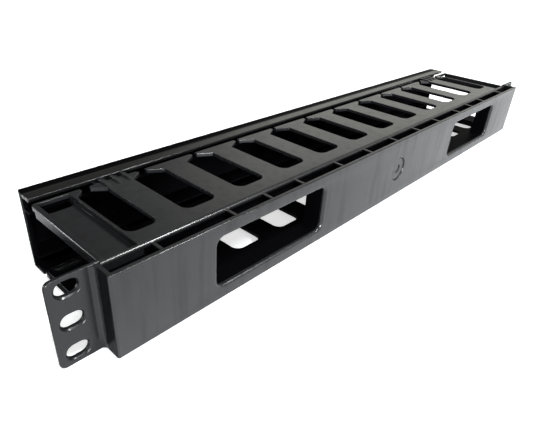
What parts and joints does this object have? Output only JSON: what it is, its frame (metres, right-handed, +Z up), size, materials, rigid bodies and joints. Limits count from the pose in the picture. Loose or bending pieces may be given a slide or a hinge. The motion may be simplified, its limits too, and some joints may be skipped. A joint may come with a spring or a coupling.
{
  "type": "horizontal rack cable manager",
  "caption": "Rack cable duct in black plastic: slotted walls with T-headed fingers, slotted ears, boxed rear with wide pass-through holes and a push-on cover.",
  "frame": {"origin": "centre of the four corner rack slots, on the rear face of the ears, which lies against the rack's rails", "axes": "+X along the nineteen inch width, +Z up in the rack, the cover faces -Y and the boxed rear +Y"},
  "size_m": [0.482, 0.0931, 0.0436],
  "materials": {
    "duct_plastic": "semi-gloss moulded black ABS",
    "cover_plastic": "semi-gloss moulded black ABS"
  },
  "bodies": {
    "duct": {"duct_body": "duct_plastic"},
    "cover": {"cover": "cover_plastic"}
  },
  "joints": [
    {"name": "cover_pull", "type": "slide", "parent": "duct", "child": "cover", "axis": [0, -1, 0], "range_m": [0, 0.035]}
  ]
}
